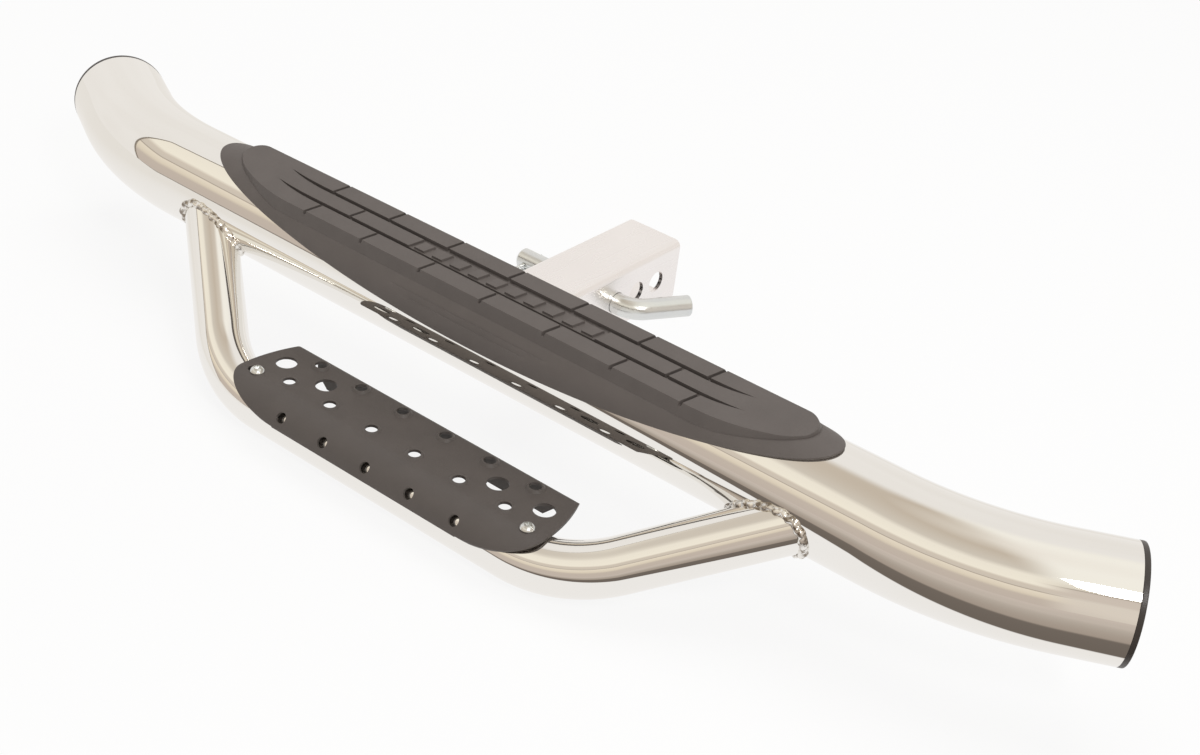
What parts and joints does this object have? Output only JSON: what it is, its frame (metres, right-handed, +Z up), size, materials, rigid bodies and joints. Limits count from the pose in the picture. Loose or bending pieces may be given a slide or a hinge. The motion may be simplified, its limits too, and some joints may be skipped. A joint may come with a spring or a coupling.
{
  "type": "hitch receiver step",
  "caption": "Bent polished tube bumper step on a square hitch shank, with a ribbed tread pad on top and a lower punched step plate hung on a U-shaped tube.",
  "frame": {"origin": "middle of the square shank at the hitch pin's axis", "axes": "+X along the main tube, +Y along the shank into the vehicle's receiver, +Z up"},
  "size_m": [0.954, 0.3104, 0.1407],
  "materials": {
    "polished_tube": "mirror polished stainless steel",
    "satin_steel": "satin",
    "weld": "polished over weld bead",
    "black_plastic": "satin moulded",
    "pad": "matte moulded",
    "plate_coat": "matte powder coat",
    "fastener": "bright",
    "zinc_plate": "bright zinc plate"
  },
  "bodies": {
    "step": {"main_tube": "polished_tube", "drop_tube": "polished_tube", "shank": "satin_steel", "weld_left": "weld", "weld_right": "weld", "weld_shank": "weld", "end_cap_left": "black_plastic", "end_cap_right": "black_plastic", "step_pad": "pad", "pad_clips": "black_plastic", "step_plate": "plate_coat", "plate_screws": "fastener", "rivet_nuts": "fastener"},
    "pin": {"hitch_pin": "zinc_plate"},
    "clip": {"pin_clip": "zinc_plate"}
  },
  "joints": [
    {"name": "pin_slide", "type": "slide", "parent": "step", "child": "pin", "axis": [1, 0, 0], "range_m": [0, 0.029]},
    {"name": "clip_pull", "type": "slide", "parent": "pin", "child": "clip", "axis": [0, -1, 0], "range_m": [0, 0.018]}
  ]
}
